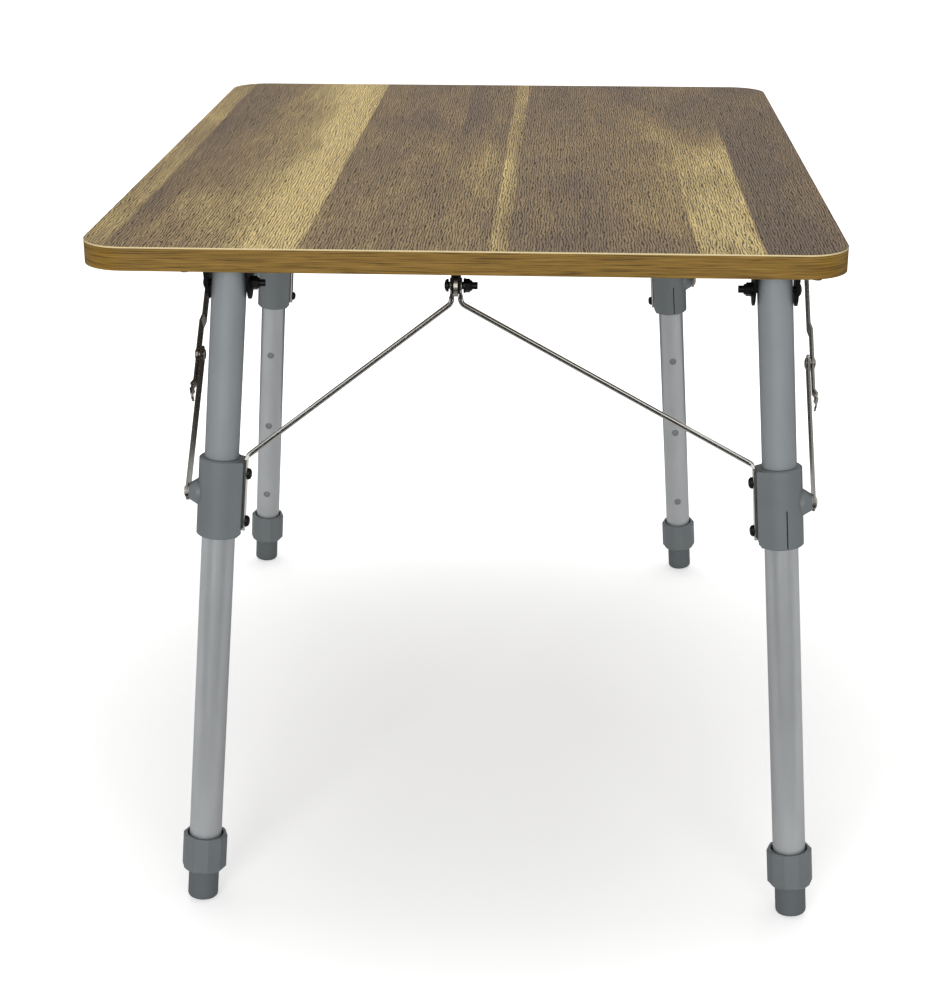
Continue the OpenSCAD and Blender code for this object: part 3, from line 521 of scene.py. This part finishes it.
def leg_places(corner):
    """A leg's frame: its foot on the floor, +Z up the leg and +X out of the table."""
    end, side = corner.split("_")
    fold = JOINTS[f"{end}_fold"]
    up = Vector(JOINTS[f"height_{corner}"]["axis"]).normalized()
    low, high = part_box(f"leg_bracket_{corner}")
    pivot = Vector(((low.x + high.x) / 2, fold["pos_m"][1], fold["pos_m"][2]))
    foot = pivot - up * (pivot.z / up.z)
    out = Vector((-1 if side == "left" else 1, 0, 0))
    out = (out - up * out.dot(up)).normalized()
    axes = Matrix((out, up.cross(out), up)).transposed().to_4x4()
    return Matrix.Translation(foot) @ axes


def reach(node, places):
    """Lowest and highest corner of a CAD node in a frame of its own."""
    inverse = places.inverted()
    corners = [inverse @ v.co for v in NODES[node].data.vertices]
    low = Vector(min(c[i] for c in corners) for i in range(3))
    high = Vector(max(c[i] for c in corners) for i in range(3))
    return low, high


# Wire braces

def clamp(value):
    """A value kept between 0 and 1."""
    return max(0.0, min(1.0, value))


def rounded_line(points, radius, steps=8):
    """A line through points with each inner corner turned to a bend of the given radius."""
    line = [points[0]]
    for before, corner, after in zip(points, points[1:], points[2:]):
        back = (before - corner).normalized()
        on = (after - corner).normalized()
        half = back.angle(on) / 2
        reach_back = radius / math.tan(half)
        centre = corner + (back + on).normalized() * (radius / math.sin(half))
        start = corner + back * reach_back - centre
        stop = corner + on * reach_back - centre
        axis = start.cross(stop).normalized()
        turn = start.angle(stop)
        for i in range(steps + 1):
            line.append(centre + Matrix.Rotation(turn * i / steps, 3, axis) @ start)
    line.append(points[-1])
    return line


def refined(line, step=1.5 * MM):
    """The same line with points no further apart than a step."""
    fine = [line[0]]
    for a, b in zip(line, line[1:]):
        count = max(1, math.ceil((b - a).length / step))
        fine += [a.lerp(b, i / count) for i in range(1, count + 1)]
    return fine


def forged_bar(line, flat, widths, depths, rings=20):
    """Points and faces of a bar along a line. Its width lies along flat and its depth across
    it, and the wider it gets for its depth, the squarer its round section turns."""
    points = []
    for i, place in enumerate(line):
        ahead = (line[min(i + 1, len(line) - 1)] - line[max(i - 1, 0)]).normalized()
        across = flat.cross(ahead).normalized()
        a, b = widths[i] / 2, depths[i] / 2
        power = 1 - SQUARENESS * clamp((a / b - 1) / SQUARE_EXCESS)
        for j in range(rings):
            t = math.tau * j / rings
            c, s = math.cos(t), math.sin(t)
            u = math.copysign(abs(c) ** power, c)
            v = math.copysign(abs(s) ** power, s)
            points.append(place + flat * (a * u) + across * (b * v))
    faces = []
    for i in range(len(line) - 1):
        for j in range(rings):
            k = (j + 1) % rings
            faces.append((i * rings + j, i * rings + k, (i + 1) * rings + k, (i + 1) * rings + j))
    faces.append(tuple(range(rings))[::-1])
    faces.append(tuple((len(line) - 1) * rings + j for j in range(rings)))
    return points, faces


def flat_eye(centre, axis, away, radius, bore, thickness, rings=36):
    """Points and faces of a flat ring about an axis, with a bevelled rim."""
    side = away.normalized()
    other = axis.cross(side).normalized()
    shoulder = radius - EYE_BEVEL
    profile = [
        (bore, -1), (shoulder, -1), (radius, -EYE_RIM),
        (radius, EYE_RIM), (shoulder, 1), (bore, 1),
    ]
    points, faces = [], []
    for j in range(rings):
        t = math.tau * j / rings
        spoke = side * math.cos(t) + other * math.sin(t)
        points += [centre + spoke * r + axis * (z * thickness / 2) for r, z in profile]
    n = len(profile)
    for j in range(rings):
        for i in range(n):
            k, m = (j + 1) % rings, (i + 1) % n
            faces.append((j * n + i, k * n + i, k * n + m, j * n + m))
    return points, faces


class TABLE_OT_finish_top(bpy.types.Operator):
    """Finishes the board, its laminate and its edge band"""

    bl_idname = "table.finish_top"
    bl_label = "Finish tabletop"

    def execute(self, context):
        top = context.scene.table_top
        finish_solid("top_laminate", printed_laminate(top), top.laminate_arris)
        finish_solid("edge_band", oak_edge_band(top), top.band_arris)
        finish_solid("tabletop_board", backing_board(top))
        return {"FINISHED"}


class TABLE_OT_finish_legs(bpy.types.Operator):
    """Finishes tubes, sleeves, collars and feet"""

    bl_idname = "table.finish_legs"
    bl_label = "Finish legs"

    def execute(self, context):
        legs = context.scene.table_legs
        upper = drawn_tube("tube_aluminium_painted", legs.painted, 0.45, 0.0, 0.05)
        lower = drawn_tube("tube_aluminium_anodised", legs.anodised, 0.36, 0.6, 0.06)
        # Painted shade: the inner tube's darker colour stands in for the shade inside the lower tube's holes.
        inner = drawn_tube("tube_aluminium_drawn", legs.inner, 0.3, 0.3, 0.06)
        moulding = moulded_plastic("nylon_moulded_grey", legs.moulding)
        foot = moulded_plastic("nylon_moulded_foot", legs.foot, 0.55)
        for corner in CORNERS:
            finish_solid(f"upper_tube_{corner}", upper)
            finish_solid(f"lower_tube_{corner}", lower, legs.tube_arris)
            finish_solid(f"inner_leg_{corner}", inner)
            finish_solid(f"sleeve_{corner}", moulding, legs.arris)
            finish_solid(f"locking_collar_{corner}", moulding, legs.arris)
            finish_solid(f"foot_cap_{corner}", foot, legs.foot_round)
        return {"FINISHED"}


class TABLE_OT_finish_hardware(bpy.types.Operator):
    """Finishes brackets, bolts, screws, rivets, links and pads"""

    bl_idname = "table.finish_hardware"
    bl_label = "Finish hardware"

    def execute(self, context):
        hardware = context.scene.table_hardware
        paint = black_steel("steel_painted_black", hardware.black, 0.42)
        black_zinc = black_steel("steel_black_zinc", hardware.black, 0.36)
        link = plated_steel("steel_bright_zinc", hardware.link, 0.24)
        zinc = plated_steel("steel_zinc_plated", hardware.zinc, 0.32)
        nylon = soft_matter("nylon_moulded_white", hardware.nylon, 0.5)
        rubber = soft_matter("rubber_moulded", hardware.rubber, 0.85)
        for corner in CORNERS:
            finish_solid(f"leg_bracket_{corner}", paint, hardware.plate_arris)
            finish_solid(f"stay_bracket_{corner}", paint, hardware.plate_arris)
            finish_solid(f"stay_upper_link_{corner}", link, hardware.fine_arris)
            finish_solid(f"stay_lower_link_{corner}", link, hardware.fine_arris)
        for end in ENDS:
            finish_solid(f"brace_bracket_{end}", paint, hardware.plate_arris)
            finish_solid(f"strip_screws_{end}", black_zinc)
            finish_solid(f"stay_rivets_{end}", zinc)
            finish_solid(f"collets_{end}", nylon)
        finish_solid("pivot_bolts", black_zinc, hardware.fine_arris)
        finish_solid("lock_nuts", black_zinc, hardware.fine_arris)
        finish_solid("wood_screws", zinc)
        finish_solid("brace_spacers", zinc)
        finish_solid("rubber_bumpers", rubber, hardware.pad_arris)
        return {"FINISHED"}


class TABLE_OT_forge_braces(bpy.types.Operator):
    """Forges the wire braces: a flat eye, a bent wire and a flattened strip"""

    bl_idname = "table.forge_braces"
    bl_label = "Forge wire braces"

    def execute(self, context):
        hardware = context.scene.table_hardware
        metal = plated_steel("wire_nickel_plated", hardware.plated, 0.07)
        for corner in CORNERS:
            self.forge(corner, hardware, metal)
        return {"FINISHED"}

    def forge(self, corner, hardware, metal):
        """One brace, in the place of its solid."""
        end, side = corner.split("_")
        node = f"wire_brace_{corner}"
        leg = leg_places(corner)
        pivot = JOINTS[f"{end}_fold"]["pos_m"]
        axis = Vector((1, 0, 0))
        box_low, box_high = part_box(node)
        half_eye = hardware.eye_thickness / 2
        eye_x = box_low.x + half_eye if side == "right" else box_high.x - half_eye
        eye = Vector((eye_x, pivot[1], pivot[2]))
        down = Vector((0, leg.col[2].y, leg.col[2].z)).normalized() * -1
        sleeve_low, sleeve_high = reach(f"sleeve_{corner}", leg)
        strip_x = sleeve_low.x - hardware.strip_thickness / 2
        line = refined(rounded_line([
            eye + down * (hardware.eye_radius - hardware.eye_lap),
            eye + down * hardware.eye_drop,
            leg @ Vector((strip_x, 0, sleeve_high.z + hardware.knee_rise)),
            leg @ Vector((strip_x, 0, reach(node, leg)[0].z)),
        ], hardware.bend + hardware.wire / 2))
        widths, depths = self.sections(line, hardware, leg, sleeve_high.z)
        points, faces = forged_bar(line, axis.cross(down).normalized(), widths, depths)
        ring, ring_faces = flat_eye(
            eye, axis, down, hardware.eye_radius, hardware.eye_bore / 2, hardware.eye_thickness
        )
        offset = len(points)
        faces += [tuple(i + offset for i in face) for face in ring_faces]
        mesh_piece(
            f"brace_{corner}", points + ring, faces, metal, BODY_OF[node], node
        )

    def sections(self, line, hardware, leg, sleeve_top):
        """Widths and depths along the line: flat at the eye and, with a round end, on the
        sleeve."""
        inverse = leg.inverted()
        wire, flattening = hardware.wire, hardware.flattening
        widths, depths = [], []
        for place in line:
            at_eye = clamp(1 - ((place - line[0]).length - hardware.eye_lap) / flattening)
            on_sleeve = clamp((sleeve_top + flattening - (inverse @ place).z) / flattening)
            from_tip = clamp(1 - (place - line[-1]).length / (hardware.strip_width / 2))
            widths.append(
                (wire + (hardware.eye_width - wire) * at_eye
                 + (hardware.strip_width - wire) * on_sleeve)
                * math.sqrt(max(BLUNT_TIP, 1 - from_tip ** 2))
            )
            depths.append(
                wire + (hardware.eye_thickness - wire) * at_eye
                + (hardware.strip_thickness - wire) * on_sleeve
            )
        return widths, depths


# Studio

def rectangle(name, corner, along, up, material):
    """A rectangle from a corner along two sides."""
    corner, along, up = Vector(corner), Vector(along), Vector(up)
    mesh = bpy.data.meshes.new(name)
    mesh.from_pydata(
        [corner, corner + along, corner + along + up, corner + up], [], [(0, 1, 2, 3)]
    )
    mesh.materials.append(material)
    item = bpy.data.objects.new(name, mesh)
    bpy.context.scene.collection.objects.link(item)
    return item


class TABLE_OT_build_studio(bpy.types.Operator):
    """Sets up the camera, the pale floor and the soft lamps"""

    bl_idname = "table.build_studio"
    bl_label = "Build studio"

    def execute(self, context):
        studio = context.scene.table_studio
        self.camera(studio)
        self.floor(studio)
        self.world(studio)
        for name, place, target, side in SOFTBOXES:
            self.softbox(name, getattr(studio, name), place, target, side)
        cloth = new_material("flag_cloth", "#050505", 1.0)[0]
        for name, corner, along, up in FLAGS:
            self.flag(name, corner, along, up, cloth)
        context.scene.view_settings.view_transform = "Standard"
        return {"FINISHED"}

    def softbox(self, name, power, place, target, side):
        """A square area lamp that faces a target."""
        lamp = bpy.data.lights.new(name, "AREA")
        lamp.shape = "SQUARE"
        lamp.size = side
        lamp.energy = power
        item = bpy.data.objects.new(name, lamp)
        item.location = place
        ahead = Vector(target) - Vector(place)
        item.rotation_euler = ahead.to_track_quat("-Z", "Y").to_euler()
        bpy.context.scene.collection.objects.link(item)

    def flag(self, name, corner, along, up, cloth):
        """A black flag that only mirror rays see: it darkens the edges of bright metal."""
        flag = rectangle(name, corner, along, up, cloth)
        flag.visible_camera = flag.visible_diffuse = flag.visible_shadow = False
        flag.visible_transmission = False

    def camera(self, studio):
        """The camera at the photograph's place."""
        yaw, pitch = studio.yaw, studio.pitch
        ahead = Vector((
            math.sin(yaw) * math.cos(pitch), math.cos(yaw) * math.cos(pitch), -math.sin(pitch)
        ))
        right = Vector((math.cos(yaw), -math.sin(yaw), 0))
        up = right.cross(ahead)
        data = bpy.data.cameras.new("camera")
        data.lens = studio.lens
        data.sensor_width = 36
        camera = bpy.data.objects.new("camera", data)
        turn = Matrix((right, up, -ahead)).transposed().to_4x4()
        camera.matrix_world = Matrix.Translation(studio.camera_at) @ turn
        bpy.context.scene.collection.objects.link(camera)
        bpy.context.scene.camera = camera

    def floor(self, studio):
        """A wide pale floor, plain and matt, that keeps the table's shadow and glows to the
        camera, more so further out."""
        material, tree, shader = new_material("floor_paint_matt", studio.floor, 0.9)
        place = add_node(tree, "ShaderNodeTexCoord")
        distance = add_node(tree, "ShaderNodeVectorMath", {
            0: place.outputs["Object"],
        }, operation="LENGTH")
        far = remap(
            tree, distance.outputs["Value"], studio.shadow_core, studio.shadow_end,
            studio.glow_near, studio.glow_far, "SMOOTHSTEP",
        )
        path = add_node(tree, "ShaderNodeLightPath")
        glow = combine(tree, "MULTIPLY", far, path.outputs["Is Camera Ray"])
        shader.inputs["Emission Color"].default_value = (1, 1, 1, 1)
        tree.links.new(glow, shader.inputs["Emission Strength"])
        half = studio.floor_side / 2
        floor = rectangle(
            "floor", (-half, -half, 0), (2 * half, 0, 0), (0, 2 * half, 0), material
        )

    def world(self, studio):
        """Even surroundings that camera, mirror and glass rays see as white."""
        world = bpy.data.worlds.new("studio")
        bpy.context.scene.world = world
        world.use_nodes = True
        tree = world.node_tree
        path = add_node(tree, "ShaderNodeLightPath").outputs
        seen = combine(tree, "MAXIMUM", path["Is Camera Ray"], path["Is Glossy Ray"])
        white = combine(tree, "MAXIMUM", seen, path["Is Transmission Ray"])
        background = tree.nodes["Background"]
        background.inputs["Color"].default_value = (1, 1, 1, 1)
        strength = remap(tree, white, 0, 1, studio.ambient, 1.0)
        tree.links.new(strength, background.inputs["Strength"])


class TABLE_PT_panel(bpy.types.Panel):
    """Lists the steps and their settings"""

    bl_idname = "TABLE_PT_panel"
    bl_label = "Camping Table"
    bl_space_type = "VIEW_3D"
    bl_region_type = "UI"
    bl_category = "Camping Table"

    def draw(self, context):
        for operator in OPERATORS:
            self.layout.operator(operator.bl_idname)
        for name in SETTINGS:
            group = getattr(context.scene, name)
            box = self.layout.box()
            for key in group.__annotations__:
                box.prop(group, key)


SETTINGS = {
    "table_top": TableTopSettings,
    "table_legs": LegSettings,
    "table_hardware": HardwareSettings,
    "table_studio": StudioSettings,
}
OPERATORS = (
    TABLE_OT_build_studio,
    TABLE_OT_finish_top,
    TABLE_OT_finish_legs,
    TABLE_OT_finish_hardware,
    TABLE_OT_forge_braces,
)
CLASSES = (*SETTINGS.values(), *OPERATORS, TABLE_PT_panel)


def register():
    """Registers the classes and their settings."""
    for item in CLASSES:
        bpy.utils.register_class(item)
    for name, group in SETTINGS.items():
        setattr(bpy.types.Scene, name, bpy.props.PointerProperty(type=group))


def unregister():
    """Removes the settings and the classes."""
    for name in SETTINGS:
        delattr(bpy.types.Scene, name)
    for item in reversed(CLASSES):
        bpy.utils.unregister_class(item)


def main():
    """Builds the scene."""
    register()
    for operator in OPERATORS:
        group, name = operator.bl_idname.split(".")
        getattr(getattr(bpy.ops, group), name)()


if __name__ == "__main__":
    main()
